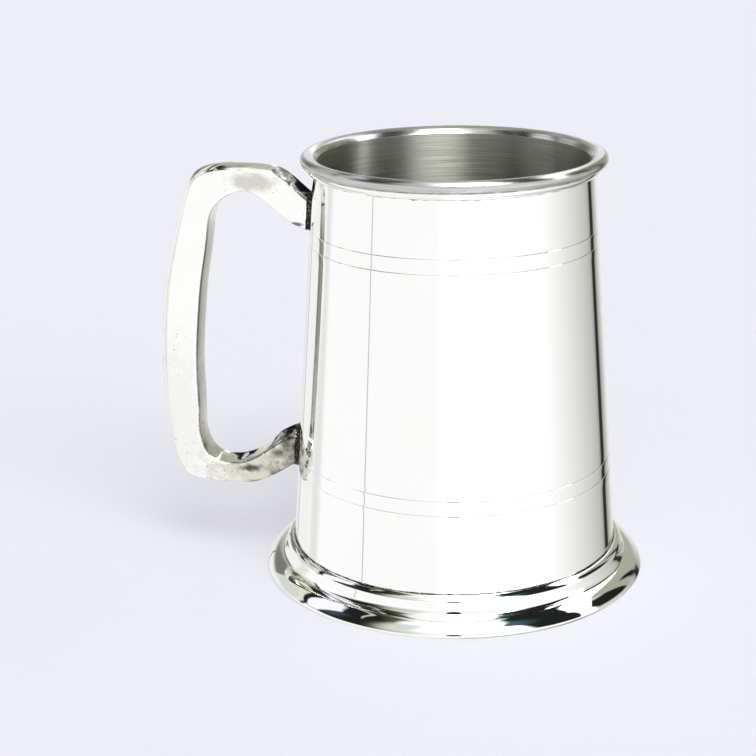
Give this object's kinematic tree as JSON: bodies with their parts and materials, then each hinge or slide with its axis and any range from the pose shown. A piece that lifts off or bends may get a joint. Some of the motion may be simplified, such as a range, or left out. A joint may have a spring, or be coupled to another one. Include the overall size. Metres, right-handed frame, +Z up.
{
  "type": "pewter tankard",
  "caption": "Tapered drinking tankard with a beaded rim, a spreading moulded foot, fine lines cut round the drum and a flat-sided cast handle.",
  "frame": {"origin": "on the drum's axis, in the plane that the foot rests on", "axes": "+Z up the drum's axis; the handle lies in the XZ plane on the -X side"},
  "size_m": [0.1392, 0.1086, 0.12],
  "materials": {
    "polished_pewter": "mirror polished pewter with fine wear",
    "satin_pewter": "satin, turned",
    "solder": "rough, oxidised soft solder"
  },
  "bodies": {
    "root": {"body_drum": "polished_pewter", "rim_moulding": "polished_pewter", "foot_ring": "polished_pewter", "base_disc": "satin_pewter", "handle": "polished_pewter", "upper_handle_solder": "solder", "lower_handle_solder": "solder", "rim_solder_seam": "solder", "foot_solder_seam": "solder", "base_solder_seam": "solder"}
  },
  "joints": []
}
